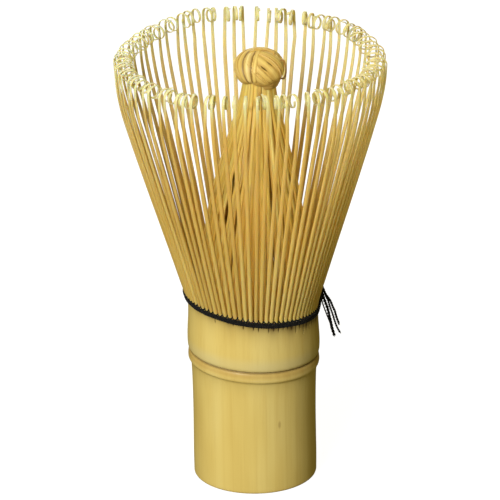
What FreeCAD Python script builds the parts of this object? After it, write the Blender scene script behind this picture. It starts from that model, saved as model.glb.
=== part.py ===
"""Bamboo tea whisk: a culm handle whose upper end is split into fine tines.

Frame: +Z up along the culm, origin at the centre of the foot the whisk stands on,
-Y towards the front. All lengths are millimetres, all angles degrees.
"""

import FreeCAD
import Part
import Sketcher
import math
import os

from FreeCAD import Placement, Rotation, Vector

# Driving dimensions: alias, value, what it is.
DIMENSIONS = [
    ("foot_radius", 15.0, "outer radius of the culm at its foot"),
    ("bore_radius", 12.2, "radius of the culm's natural hollow"),
    ("grip_height", 22.0, "top of the straight, cylindrical stretch"),
    ("flare_radius", 15.45, "outer radius just under the node"),
    ("foot_round", 0.6, "rounding of the foot's outer edge"),
    ("node_bottom", 30.0, "underside of the node ring"),
    ("node_top", 31.9, "top of the node ring"),
    ("node_radius", 15.9, "radius of the node ring's crest"),
    ("node_lower_sweep", 1.19, "arc radius of the node ring's lower face"),
    ("node_upper_sweep", 1.05, "arc radius of the node ring's upper face"),
    ("septum_bottom", 30.4, "underside of the wall inside the node"),
    ("septum_top", 31.9, "top of the wall inside the node"),
    ("septum_rise", 0.7, "how far the wall domes up in its middle"),
    ("groove_radius", 15.3, "bottom of the groove above the node ring"),
    ("collar_bulge_radius", 16.05, "widest radius of the collar"),
    ("collar_bulge_height", 35.2, "height of that widest place"),
    ("collar_lower_sweep", 3.6, "arc radius from the groove to the widest place"),
    ("collar_upper_sweep", 70.0, "arc radius from the widest place to the neck"),
    ("collar_neck_radius", 15.8, "collar radius under the thread"),
    ("collar_neck_height", 43.0, "where the collar turns straight"),
    ("collar_bore_radius", 12.6, "inner radius of the collar"),
    ("collar_top", 46.1, "top of the unsplit bamboo"),
    ("slit_width", 0.25, "width of the splits that run below the thread"),
    ("slit_bottom", 43.4, "how low those splits run"),
    ("slit_margin", 1.0, "how far the cutting outline reaches past the collar's wall"),
    ("thread_bottom", 44.6, "lower edge of the wound thread"),
    ("thread_radius", 0.25, "radius of the thread"),
    ("thread_pad", 0.5, "how far the winding's middle stands off the collar"),
    ("thread_turns", 3, "turns of thread one above the other"),
    ("thread_crown_sweep", 0.27, "arc radius of one turn's outer face"),
    ("splint_count", 16, "splints that the culm's wall is divided into"),
    ("tines_per_splint", 5, "outer tines, and inner tines, of one splint"),
    ("root_radius", 16.2, "outer radius of the outer tines at their root"),
    ("root_height", 46.3, "height of that root"),
    ("root_thickness", 0.8, "radial thickness of an outer tine at its root"),
    ("shoulder_radius", 30.5, "radius where the straight flare ends"),
    ("shoulder_height", 94.0, "height where the straight flare ends"),
    ("rim_radius", 32.6, "widest radius of the outer tines"),
    ("curl_height", 108.2, "height of the centres of the curled tips"),
    ("curl_radius", 1.65, "outer radius of a curled tip"),
    ("tip_thickness", 0.35, "thickness of the shaved upper tine"),
    ("tine_width", 0.9, "width of an outer tine"),
    ("core_foot_height", 46.7, "height of the inner tines' root"),
    ("core_root_radius", 13.3, "outer radius of the inner tines at their root"),
    ("core_turn_radius", 9.9, "outer radius where they become a straight cone"),
    ("core_turn_height", 76.0, "height where they become a straight cone"),
    ("core_neck_radius", 4.0, "outer radius of the neck under the knot"),
    ("core_neck_height", 101.5, "height of that neck"),
    ("core_thickness", 0.7, "radial thickness of an inner tine"),
    ("core_tine_angle", 3.6, "angle about the axis that one inner tine fills"),
    ("core_lean", 2.2, "how far the inner cone leans towards +X"),
    ("knot_radius", 5.9, "largest radius of the knot"),
    ("knot_crest_height", 105.6, "height of that largest radius"),
    ("knot_lower_sweep", 4.2, "arc radius from the neck to the knot's largest radius"),
    ("knot_upper_sweep", 4.0, "arc radius from the largest radius to the crown"),
    ("knot_crown_radius", 3.6, "radius where the knot's crown begins"),
    ("knot_crown_height", 109.0, "height where the knot's crown begins"),
    ("knot_top", 109.9, "top of the knot"),
    ("knob_radius", 0.65, "radius of the thread's own small knot"),
    ("knob_bearing", 10.0, "direction of that knot about the axis"),
    ("tail_radius", 0.22, "radius of a loose thread end"),
]

doc = FreeCAD.newDocument("TeaWhisk")
sheet = doc.addObject("Spreadsheet::Sheet", "Dims")
for row, (alias, value, meaning) in enumerate(DIMENSIONS, start=1):
    sheet.set(f"A{row}", meaning)
    sheet.set(f"B{row}", str(value))
    sheet.setAlias(f"B{row}", alias)
doc.recompute()


class Size:
    """A number that carries the spreadsheet formula it comes from."""

    def __init__(self, value, formula=None):
        self.value = float(value)
        self.formula = formula or str(value)

    def join(self, other, sign, value):
        return Size(value, f"({self.formula} {sign} {other.formula})")

    def __add__(self, other):
        return self.join(other, "+", self.value + other.value)

    def __sub__(self, other):
        return self.join(other, "-", self.value - other.value)

    def __mul__(self, other):
        return self.join(other, "*", self.value * other.value)

    def __truediv__(self, other):
        return self.join(other, "/", self.value / other.value)


def dim(alias):
    """The driving dimension of that name, with its formula."""
    return Size(sheet.get(alias), f"{sheet.Name}.{alias}")


ZERO = Size(0)
ONE = Size(1)
TWO = Size(2)
FULL_TURN = Size(360)

NEAR = 1e-6  # how closely two coordinates must agree to be the same, in millimetres
CORNER_SHARE = 0.45  # how much of a straight run the arc at its end may use up
VOLUME_TOLERANCE = 0.02  # how far a thread end's volume may be from its length times its section


class Bend:
    """An arc from one corner of an outline to the next.

    turn is +1 for counter-clockwise and -1 for clockwise; long arcs pass half a circle.
    """

    def __init__(self, radius, turn, long=False):
        self.radius = radius
        self.turn = turn
        self.long = long

    def edge(self, start, end):
        radius = self.radius.value
        chord = end - start
        reach = math.sqrt(max(radius**2 - (chord.Length / 2) ** 2, 0.0))
        across = Vector(-chord.y, chord.x, 0).normalize()
        side = self.turn * (-1 if self.long else 1)
        centre = (start + end) / 2 + across * reach * side
        first, last = (start, end) if self.turn > 0 else (end, start)
        angles = [math.atan2(p.y - centre.y, p.x - centre.x) for p in (first, last)]
        return Part.ArcOfCircle(Part.Circle(centre, Vector(0, 0, 1), radius), *angles)


def new_body(label):
    body = doc.addObject("PartDesign::Body", label)
    body.Label = label
    return body


def datum(body, role):
    """One of the body's own origin planes or axes."""
    return next(item for item in body.Origin.OriginFeatures if item.Role == role)


def bind_coordinate(sketch, kind, axis_geometry, edge, end, size):
    """Hold one coordinate of a point to its spreadsheet formula."""
    if size.value == 0:
        sketch.addConstraint(Sketcher.Constraint("PointOnObject", edge, end, axis_geometry))
        return
    index = sketch.addConstraint(Sketcher.Constraint(kind, -1, 1, edge, end, size.value))
    sketch.setExpression(f"Constraints[{index}]", size.formula)


def outline(body, name, corners):
    """A closed sketch in the body's XZ plane: x is the radius, y the height.

    Each corner is (x, y) or (x, y, Bend), where the bend leads to the next corner.
    """
    sketch = body.newObject("Sketcher::SketchObject", name)
    sketch.AttachmentSupport = (datum(body, "XZ_Plane"), [""])
    sketch.MapMode = "FlatFace"
    places = [Vector(corner[0].value, corner[1].value, 0) for corner in corners]
    ends = []
    for index, corner in enumerate(corners):
        start, end = places[index], places[(index + 1) % len(corners)]
        bend = corner[2] if len(corner) > 2 else None
        geometry = bend.edge(start, end) if bend else Part.LineSegment(start, end)
        sketch.addGeometry(geometry, False)
        ends.append((2, 1) if bend and bend.turn < 0 else (1, 2))
        if bend:
            held = sketch.addConstraint(Sketcher.Constraint("Radius", index, bend.radius.value))
            sketch.setExpression(f"Constraints[{held}]", bend.radius.formula)
    for index, corner in enumerate(corners):
        following = (index + 1) % len(corners)
        sketch.addConstraint(
            Sketcher.Constraint("Coincident", index, ends[index][1], following, ends[following][0])
        )
        bind_coordinate(sketch, "DistanceX", -2, index, ends[index][0], corner[0])
        bind_coordinate(sketch, "DistanceY", -1, index, ends[index][0], corner[1])
    return sketch


def revolve(body, sketch, angle=FULL_TURN):
    feature = body.newObject("PartDesign::Revolution", f"{body.Name}_turned")
    feature.Profile = sketch
    feature.ReferenceAxis = (sketch, ["V_Axis"])
    feature.Midplane = angle is not FULL_TURN
    feature.Angle = angle.value
    feature.setExpression("Angle", angle.formula)
    return feature


def repeat(body, feature, count, angle):
    """Repeat a feature about the body's Z axis, spread over that whole angle."""
    pattern = body.newObject("PartDesign::PolarPattern", f"{body.Name}_pattern")
    pattern.Originals = [feature]
    pattern.Axis = (datum(body, "Z_Axis"), [""])
    pattern.Angle = angle.value
    pattern.Occurrences = int(count.value)
    pattern.setExpression("Angle", angle.formula)
    pattern.setExpression("Occurrences", count.formula)
    body.Tip = pattern
    return pattern


def handle_tube():
    """The internode below the node: a hollow culm, cut flat at the foot."""
    body = new_body("handle_tube")
    sketch = outline(body, "handle_wall", [
        (dim("bore_radius"), ZERO),
        (dim("foot_radius"), ZERO),
        (dim("foot_radius"), dim("grip_height")),
        (dim("flare_radius"), dim("node_bottom")),
        (dim("bore_radius"), dim("node_bottom")),
    ])
    turned = revolve(body, sketch)
    doc.recompute()
    foot_edge = next(
        f"Edge{number}"
        for number, edge in enumerate(turned.Shape.Edges, start=1)
        if edge.BoundBox.ZMax < NEAR and edge.BoundBox.XMax > dim("foot_radius").value - NEAR
    )
    fillet = body.newObject("PartDesign::Fillet", "foot_rounding")
    fillet.Base = (turned, [foot_edge])
    fillet.Radius = dim("foot_round").value
    fillet.setExpression("Radius", dim("foot_round").formula)
    body.Tip = fillet
    return body


def node_ring():
    """The ridge that the culm grows at its node."""
    body = new_body("node_ring")
    half_height = (dim("node_top") - dim("node_bottom")) / TWO
    sketch = outline(body, "node_section", [
        (dim("bore_radius"), dim("node_bottom")),
        (dim("flare_radius"), dim("node_bottom"), Bend(dim("node_lower_sweep"), 1)),
        (dim("node_radius"), dim("node_bottom") + half_height, Bend(dim("node_upper_sweep"), 1)),
        (dim("groove_radius"), dim("node_top")),
        (dim("bore_radius"), dim("node_top")),
    ])
    revolve(body, sketch)
    return body


def node_septum():
    """The natural wall across the culm's hollow, slightly domed."""
    body = new_body("node_septum")
    reach = dim("bore_radius")
    rise = dim("septum_rise")
    dome = Bend((reach * reach + rise * rise) / (TWO * rise), 1)
    underside = Bend(dome.radius, -1)
    sketch = outline(body, "septum_section", [
        (ZERO, dim("septum_bottom") + rise, underside),
        (reach, dim("septum_bottom")),
        (reach, dim("septum_top"), dome),
        (ZERO, dim("septum_top") + rise),
    ])
    revolve(body, sketch)
    return body


def collar():
    """The internode above the node, split a little way down between the splints."""
    body = new_body("collar")
    wall = outline(body, "collar_wall", [
        (dim("collar_bore_radius"), dim("node_top")),
        (dim("groove_radius"), dim("node_top"), Bend(dim("collar_lower_sweep"), -1)),
        (dim("collar_bulge_radius"), dim("collar_bulge_height"), Bend(dim("collar_upper_sweep"), 1)),
        (dim("collar_neck_radius"), dim("collar_neck_height")),
        (dim("collar_neck_radius"), dim("collar_top")),
        (dim("collar_bore_radius"), dim("collar_top")),
    ])
    turned = revolve(body, wall)
    inside = dim("collar_bore_radius") - dim("slit_margin")
    outside = dim("collar_neck_radius") + dim("slit_margin")
    above = dim("collar_top") + dim("slit_margin")
    slit = outline(body, "slit_side", [
        (inside, dim("slit_bottom")),
        (outside, dim("slit_bottom")),
        (outside, above),
        (inside, above),
    ])
    cut = body.newObject("PartDesign::Pocket", "slit")
    cut.Profile = slit
    cut.SideType = "Symmetric"
    cut.Length = dim("slit_width").value
    cut.setExpression("Length", dim("slit_width").formula)
    repeat(body, cut, dim("splint_count"), FULL_TURN)
    doc.recompute()
    if not body.Shape.Volume < turned.Shape.Volume:
        raise RuntimeError("the collar's slits cut nothing")
    return body


def thread_winding():
    """Turns of thread wound over the roots of the tines, lying one on the next."""
    body = new_body("thread_winding")
    thread = dim("thread_radius")
    inner = dim("collar_neck_radius")
    outer = inner + dim("thread_pad")
    corners = [(inner, dim("thread_bottom"))]
    height = dim("thread_bottom")
    crown = Bend(dim("thread_crown_sweep"), 1)
    for _ in range(int(dim("thread_turns").value)):
        corners.append((outer, height, crown))
        height = height + thread * TWO
    corners.append((outer, height))
    corners.append((inner, height))
    revolve(body, outline(body, "winding_section", corners))
    return body


def outer_splint(number):
    """The outer tines of one splint: straight, flaring, then curled in at the tips."""
    body = new_body(f"outer_tines_{number + 1:02d}")
    rim, curl, tip = dim("rim_radius"), dim("curl_radius"), dim("tip_thickness")
    top = dim("curl_height")
    widening = rim - dim("shoulder_radius")
    rise = top - dim("shoulder_height")
    sweep = (widening * widening + rise * rise) / (TWO * widening)
    sketch = outline(body, f"outer_tine_side_{number + 1:02d}", [
        (dim("root_radius"), dim("root_height")),
        (dim("shoulder_radius"), dim("shoulder_height"), Bend(sweep, 1)),
        (rim, top, Bend(curl, 1, long=True)),
        (rim - curl, top - curl),
        (rim - curl, top - curl + tip, Bend(curl - tip, -1, long=True)),
        (rim - tip, top, Bend(sweep, -1)),
        (dim("shoulder_radius") - tip, dim("shoulder_height")),
        (dim("root_radius") - dim("root_thickness"), dim("root_height")),
    ])
    pad = body.newObject("PartDesign::Pad", f"outer_tine_{number + 1:02d}")
    pad.Profile = sketch
    pad.SideType = "Symmetric"
    pad.Length = dim("tine_width").value
    pad.setExpression("Length", dim("tine_width").formula)
    repeat(body, pad, dim("tines_per_splint"), tine_spread())
    body.Placement = Placement(Vector(), Rotation(Vector(0, 0, 1), first_tine_bearing(number)))
    return body


def inner_splint(number):
    """The inner tines of one splint, drawn together into a cone under the knot."""
    body = new_body(f"inner_tines_{number + 1:02d}")
    root, turn, neck = dim("core_root_radius"), dim("core_turn_radius"), dim("core_neck_radius")
    foot, bend_top, neck_top = dim("core_foot_height"), dim("core_turn_height"), dim("core_neck_height")
    thick = dim("core_thickness")
    narrowing = root - turn
    rise = bend_top - foot
    sweep = (narrowing * narrowing + rise * rise) / (TWO * narrowing)
    sketch = outline(body, f"inner_tine_side_{number + 1:02d}", [
        (root, foot, Bend(sweep, 1)),
        (turn, bend_top),
        (neck, neck_top),
        (neck - thick, neck_top),
        (turn - thick, bend_top, Bend(sweep, -1)),
        (root - thick, foot),
    ])
    turned = revolve(body, sketch, dim("core_tine_angle"))
    repeat(body, turned, dim("tines_per_splint"), tine_spread())
    body.Placement = core_lean() * Placement(
        Vector(), Rotation(Vector(0, 0, 1), first_tine_bearing(number))
    )
    return body


def tine_pitch():
    return FULL_TURN / (dim("splint_count") * dim("tines_per_splint"))


def tine_spread():
    """Angle from the first tine of a splint to its last."""
    return tine_pitch() * (dim("tines_per_splint") - ONE)


def first_tine_bearing(number):
    splint_angle = FULL_TURN / dim("splint_count")
    return number * splint_angle.value + tine_pitch().value / 2


def core_lean():
    """The inner cone and its knot lean a little about the centre of their root."""
    pivot = Vector(0, 0, dim("core_foot_height").value)
    rotation = Rotation(Vector(0, 1, 0), dim("core_lean").value)
    return Placement(Vector(), rotation, pivot)


def tip_knot():
    """The inner tines' tips, folded over and tucked into a flattened ball."""
    body = new_body("tip_knot")
    crown, rise = dim("knot_crown_radius"), dim("knot_top") - dim("knot_crown_height")
    dome = Bend((crown * crown + rise * rise) / (TWO * rise), 1)
    sketch = outline(body, "knot_section", [
        (ZERO, dim("core_neck_height")),
        (dim("core_neck_radius"), dim("core_neck_height"), Bend(dim("knot_lower_sweep"), 1)),
        (dim("knot_radius"), dim("knot_crest_height"), Bend(dim("knot_upper_sweep"), 1)),
        (crown, dim("knot_crown_height"), dome),
        (ZERO, dim("knot_top")),
    ])
    revolve(body, sketch)
    body.Placement = core_lean()
    return body


def knob_centre():
    """Centre of the thread's knot, which rests against the outside of the winding."""
    reach = (dim("collar_neck_radius") + dim("thread_pad") + dim("thread_radius")).value
    reach += dim("knob_radius").value
    bearing = math.radians(dim("knob_bearing").value)
    height = dim("thread_bottom") + dim("thread_turns") * dim("thread_radius")
    return Vector(reach * math.cos(bearing), reach * math.sin(bearing), height.value)


def thread_knot():
    """The small knot that ties the thread off."""
    ball = doc.addObject("Part::Sphere", "thread_knot")
    ball.Label = "thread_knot"
    ball.Radius = dim("knob_radius").value
    ball.setExpression("Radius", dim("knob_radius").formula)
    ball.Placement = Placement(knob_centre(), Rotation())
    return ball


def rounded_route(points):
    """Straight runs joined by tangent arcs, each as large as its two runs allow."""
    edges = []
    start = points[0]
    for before, corner, after in zip(points, points[1:], points[2:]):
        arriving, leaving = (corner - before).normalize(), (after - corner).normalize()
        half_turn = arriving.getAngle(leaving) / 2
        shorter = min((corner - before).Length, (after - corner).Length)
        setback = CORNER_SHARE * shorter
        radius = setback / math.tan(half_turn)
        entry, leave = corner - arriving * setback, corner + leaving * setback
        inward = (leaving - arriving).normalize()
        middle = corner + inward * (radius / math.cos(half_turn) - radius)
        edges.append(Part.LineSegment(start, entry).toShape())
        edges.append(Part.Arc(entry, middle, leave).toShape())
        print(f"bend radius {radius:.2f} mm")
        start = leave
    edges.append(Part.LineSegment(start, points[-1]).toShape())
    return Part.Wire(edges)


# Loose thread ends: route points from the small knot, as (outward, sideways, height)
# from the knot's centre, in millimetres. Outward is along the knot's bearing.
TAIL_ROUTES = {
    "thread_tail_1": [(0.62, 0.50, -0.45), (1.7, 0.9, -2.2), (2.9, 1.5, -6.2), (4.3, 1.7, -10.6)],
    "thread_tail_2": [(0.88, 0.0, -0.10), (2.2, 0.25, -2.0), (3.4, 0.75, -6.4), (5.3, 0.6, -11.3)],
    "thread_tail_3": [(0.55, -0.62, -0.25), (1.9, -0.9, -2.4), (3.3, -0.7, -6.8), (4.2, -1.3, -12.2)],
    "thread_tail_4": [(0.35, 0.0, -0.85), (1.1, -0.1, -3.0), (2.3, -0.1, -6.6), (3.4, 0.3, -9.4)],
}


def thread_tail(name, route):
    """One loose end of the thread, a thin round tube hanging from the small knot."""
    bearing = dim("knob_bearing").value
    points = [Rotation(Vector(0, 0, 1), bearing).multVec(Vector(*point)) for point in route]
    path = rounded_route(points)
    radius = dim("tail_radius").value
    section = Part.Wire(Part.Circle(points[0], points[1] - points[0], radius).toShape())
    tube = path.makePipeShell([section], True, True)
    expected = math.pi * radius**2 * path.Length
    if abs(tube.Volume / expected - 1) > VOLUME_TOLERANCE:
        raise RuntimeError(f"{name} has the wrong volume")
    tail = doc.addObject("Part::Feature", name)
    tail.Label = name
    tail.Shape = tube
    tail.Placement = Placement(knob_centre(), Rotation())
    return tail


subparts = [handle_tube(), node_ring(), node_septum(), collar(), thread_winding(), thread_knot()]
subparts += [thread_tail(name, route) for name, route in TAIL_ROUTES.items()]
subparts += [outer_splint(number) for number in range(int(dim("splint_count").value))]
subparts += [inner_splint(number) for number in range(int(dim("splint_count").value))]
subparts.append(tip_knot())

doc.recompute()

failed = [item.Label for item in doc.Objects if "Invalid" in item.State or "Error" in item.State]
if failed:
    raise RuntimeError(f"failed objects: {failed}")
for subpart in subparts:
    if subpart.Shape.isNull() or not subpart.Shape.isValid():
        raise RuntimeError(f"{subpart.Label} has no valid shape")

os.makedirs("parts", exist_ok=True)
for subpart in subparts:
    subpart.Shape.exportStep(f"parts/{subpart.Label}.step")
    print(f"{subpart.Label}: {len(subpart.Shape.Solids)} solids, {subpart.Shape.Volume:.2f} mm3")
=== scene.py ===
"""Looks of the bamboo tea whisk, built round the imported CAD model.

The whisk is worked out in millimetres, and the camera, floor and lights in metres. -Y is the front.
"""

import math
import random

import bpy
import numpy as np
from mathutils import Matrix, Vector


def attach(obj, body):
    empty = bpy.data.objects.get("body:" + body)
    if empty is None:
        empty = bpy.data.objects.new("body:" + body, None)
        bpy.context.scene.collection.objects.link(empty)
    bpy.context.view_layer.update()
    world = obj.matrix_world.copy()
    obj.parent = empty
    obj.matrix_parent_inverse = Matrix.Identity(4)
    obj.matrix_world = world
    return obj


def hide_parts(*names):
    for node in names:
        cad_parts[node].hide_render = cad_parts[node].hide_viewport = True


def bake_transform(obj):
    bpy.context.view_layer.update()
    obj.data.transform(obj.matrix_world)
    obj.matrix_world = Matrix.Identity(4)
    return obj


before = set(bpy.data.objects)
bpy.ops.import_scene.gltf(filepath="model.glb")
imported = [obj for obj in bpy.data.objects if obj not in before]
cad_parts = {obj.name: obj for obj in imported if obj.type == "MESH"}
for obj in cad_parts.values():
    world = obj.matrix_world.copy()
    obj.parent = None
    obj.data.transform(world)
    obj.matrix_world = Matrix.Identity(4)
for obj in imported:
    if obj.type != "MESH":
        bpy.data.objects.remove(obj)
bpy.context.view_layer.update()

MM = 0.001
TURN = 2 * math.pi
UP = np.array([0.0, 0.0, 1.0])

# ------------ camera

CAMERA_DISTANCE = 1.2
CAMERA_ELEVATION = math.radians(22.73)
CAMERA_ROLL = 0.0139
CAMERA_AIM = Vector((-0.0006, 0.0, 0.0584))
LENS_MM = 356.5
SENSOR_MM = 36.0


def link(name, data):
    made = bpy.data.objects.new(name, data)
    bpy.context.scene.collection.objects.link(made)
    return made


def make_camera():
    """Stands the camera in front of the whisk, looking a little down on it."""
    data = bpy.data.cameras.new("camera")
    data.lens, data.sensor_width = LENS_MM, SENSOR_MM
    data.clip_start, data.clip_end = 0.05, 20.0
    camera = link("camera", data)
    rise, run = math.sin(CAMERA_ELEVATION), math.cos(CAMERA_ELEVATION)
    right, up, back = Vector((1, 0, 0)), Vector((0, rise, run)), Vector((0, -run, rise))
    turn = Matrix((right, up, back)).transposed() @ Matrix.Rotation(-CAMERA_ROLL, 3, "Z")
    camera.matrix_world = Matrix.Translation(CAMERA_AIM + CAMERA_DISTANCE * back) @ turn.to_4x4()
    bpy.context.scene.camera = camera


make_camera()

# ------------ numbers


def smooth_curve(points):
    """A function through the points, with no corner at them."""
    x, y = np.array(points, float).T
    slope = np.gradient(y, x)

    def value(at):
        at = np.clip(at, x[0], x[-1])
        i = np.clip(np.searchsorted(x, at) - 1, 0, len(x) - 2)
        step = x[i + 1] - x[i]
        t = (at - x[i]) / step
        start = (1 + 2 * t) * (1 - t) ** 2 * y[i] + t * (1 - t) ** 2 * step * slope[i]
        end = t * t * (3 - 2 * t) * y[i + 1] + t * t * (t - 1) * step * slope[i + 1]
        return start + end

    return value


def ease(low, high, at):
    """0 below low, 1 above high, and smooth between them."""
    t = np.clip((np.asarray(at, float) - low) / (high - low), 0, 1)
    return t * t * (3 - 2 * t)


def unit(vectors):
    return vectors / np.linalg.norm(vectors, axis=-1, keepdims=True)


def across(vectors, lines):
    """The part of each vector that is square to its line, as a unit vector."""
    along = np.sum(vectors * lines, axis=-1, keepdims=True)
    return unit(vectors - along * lines)


def tangents(path, closed=False):
    if closed:
        return unit(np.roll(path, -1, axis=0) - np.roll(path, 1, axis=0))
    return unit(np.gradient(path, axis=0))


def lengths(path):
    steps = np.linalg.norm(np.diff(path, axis=0), axis=1)
    return np.concatenate([[0.0], np.cumsum(steps)])


def polar(radius, angle, height):
    """Points at these radii, angles and heights round the whisk's own axis."""
    radius, angle, height = np.broadcast_arrays(radius, angle, height)
    return np.stack([radius * np.cos(angle), radius * np.sin(angle), height], axis=-1)


def round_angles(count):
    return TURN * np.arange(count) / count


def outward(angle):
    return polar(1.0, angle, 0.0)


def sideways(angle):
    return polar(1.0, np.asarray(angle) + TURN / 4, 0.0)


# ------------ meshes

# What the materials read at each point of a mesh, with how many numbers each has.
FACTS = {"fibre": 3, "tone": 1, "edge": 1, "tip": 1, "warm": 1, "pale": 1, "dark": 1}
SHARP = math.radians(66)  # edges sharper than this stay crisp


def ring_quads(below, above):
    """Faces between rows of point numbers and the rows next to them."""
    return np.stack([below, np.roll(below, -1, 1), np.roll(above, -1, 1), above], -1).reshape(-1, 4)


class Piece:
    """Collects closed surfaces, with the facts that their materials read, into one object."""

    def __init__(self, name):
        self.name = name
        self.points, self.faces, self.paints = [], [], []
        self.facts = {fact: [] for fact in FACTS}
        self.count = 0

    def grid(self, points, facts, wrap_rows=False, paint=0):
        """Adds rows of points, each a closed ring. The rows close on themselves or end in caps."""
        rows, ring = points.shape[:2]
        number = self.count + np.arange(rows * ring).reshape(rows, ring)
        below = number if wrap_rows else number[:-1]
        above = np.roll(number, -1, axis=0) if wrap_rows else number[1:]
        paint_rows = np.broadcast_to(paint, (rows,))[: len(below)]
        self.faces += ring_quads(below, above).tolist()
        self.paints += np.repeat(paint_rows, ring).tolist()
        if not wrap_rows:
            self.faces += [number[0][::-1].tolist(), number[-1].tolist()]
            self.paints += [int(paint_rows[0]), int(paint_rows[-1])]
        self.points.append(points.reshape(-1, 3))
        for fact, size in FACTS.items():
            shape = (rows, ring, size) if size > 1 else (rows, ring)
            value = np.broadcast_to(np.asarray(facts.get(fact, 0.0), float), shape)
            self.facts[fact].append(value.reshape(-1, size))
        self.count += rows * ring

    def make(self, materials, node, blend=None):
        """Makes the Blender object and hides the CAD part it stands for. Without blend it rides on the culm;
        with blend it stays loose, in world place.
        """
        mesh = bpy.data.meshes.new(self.name)
        points = np.concatenate(self.points) * MM
        mesh.from_pydata(points.tolist(), [], self.faces)
        for fact, size in FACTS.items():
            kind, field = ("FLOAT_VECTOR", "vector") if size > 1 else ("FLOAT", "value")
            values = np.concatenate(self.facts[fact]).astype(np.float32)
            mesh.attributes.new(fact, kind, "POINT").data.foreach_set(field, values.ravel())
        for material in materials:
            mesh.materials.append(material)
        mesh.polygons.foreach_set("material_index", self.paints)
        mesh.polygons.foreach_set("use_smooth", [len(f) == 4 for f in self.faces])
        mesh.update()
        mesh.set_sharp_from_angle(angle=SHARP)
        piece = link(self.name, mesh)
        if blend:
            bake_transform(piece)
        else:
            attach(piece, "culm")
        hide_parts(node)


CORNER_MIDDLE = 0.29  # how far the middle of a rounded corner lies inside its square, by its radius


def strip_section():
    """A strip's section. A point is shares of half width, corner, half thickness, corner and crown."""
    corner = [(0, -1), (-CORNER_MIDDLE, -CORNER_MIDDLE), (-1, 0)]
    upper_right = [(1, a, 1, b, 0) for a, b in corner]
    upper_left = [(-1, -a, 1, b, 0) for a, b in corner[::-1]]
    lower_left = [(-1, -a, -1, -b, 0) for a, b in corner]
    lower_right = [(1, a, -1, -b, 0) for a, b in corner[::-1]]
    upper, lower = [(0, 0, 1, 0, 1)], [(0, 0, -1, 0, 0)]
    return np.array(upper_right + upper + upper_left + lower_left + lower + lower_right)


STRIP_SECTION = strip_section()
STRIP_CORNER = 0.36  # its corner radius, as a share of its smaller side


def add_strip(piece, path, side, width, thick, tone, seed, crown, dark, tip=0.0, warm=0.0):
    """A long thin strip with rounded edges. side points across it, and crown is how far its face bulges."""
    run = tangents(path)
    side = across(side, run)
    face = np.cross(side, run)
    given = (width, thick, tone, tip, dark, warm)
    width, thick, tone, tip, dark, warm = (np.broadcast_to(np.asarray(v, float), len(path)) for v in given)
    corner = STRIP_CORNER * np.minimum(width, thick)
    wide, wide_in, high, high_in, crowned = STRIP_SECTION.T
    a = np.outer(width / 2, wide) + np.outer(corner, wide_in)
    b = np.outer(thick / 2, high) + np.outer(corner, high_in) + np.outer(crown * width, crowned)
    points = path[:, None] + side[:, None] * a[..., None] + face[:, None] * b[..., None]
    travel = np.broadcast_to(lengths(path)[:, None], a.shape)
    fibre = np.stack([a + 7.0 * seed, b + 3.0 * seed, travel + 31.0 * seed], axis=-1) * MM
    ring = np.ones_like(a)
    facts = {"tone": tone, "tip": tip, "dark": dark, "warm": warm}
    facts = {fact: value[:, None] * ring for fact, value in facts.items()}
    piece.grid(points, facts | {"fibre": fibre, "edge": np.abs(wide) * ring})


def add_tube(piece, path, radius, sides=6, seed=0.0, closed=False):
    """A round tube along a path. radius is one number or one for each point."""
    run = tangents(path, closed)
    first = np.zeros_like(run)
    first[0] = across(np.array([1.0, 0.3, 0.0]) if abs(run[0, 2]) > 0.8 else UP, run[0])
    for i in range(1, len(run)):
        first[i] = across(first[i - 1], run[i])
    second = np.cross(run, first)
    if closed:  # the frame comes back turned, so the turn is spread over the whole ring
        end = across(first[-1], run[0])
        slip = math.atan2(float(np.dot(end, second[0])), float(np.dot(end, first[0])))
        undo = -slip * np.arange(len(run)) / len(run)
        c, s = np.cos(undo)[:, None], np.sin(undo)[:, None]
        first, second = first * c + second * s, second * c - first * s
    angle = round_angles(sides)
    radius = np.broadcast_to(np.asarray(radius, float), len(path))[:, None, None]
    spoke = first[:, None] * np.cos(angle)[:, None] + second[:, None] * np.sin(angle)[:, None]
    points = path[:, None] + radius * spoke
    travel = np.broadcast_to(lengths(path)[:, None], (len(path), sides))
    fibre = np.stack([spoke[..., 0] * 0.2 + seed, spoke[..., 1] * 0.2, travel], axis=-1) * MM
    piece.grid(points, {"fibre": fibre}, wrap_rows=closed)


# ------------ materials


def linear(*colour):
    """A colour given as screen values from 0 to 255."""
    shares = [v / 255 for v in colour]
    return [s / 12.92 if s <= 0.04045 else ((s + 0.055) / 1.055) ** 2.4 for s in shares] + [1.0]


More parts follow.
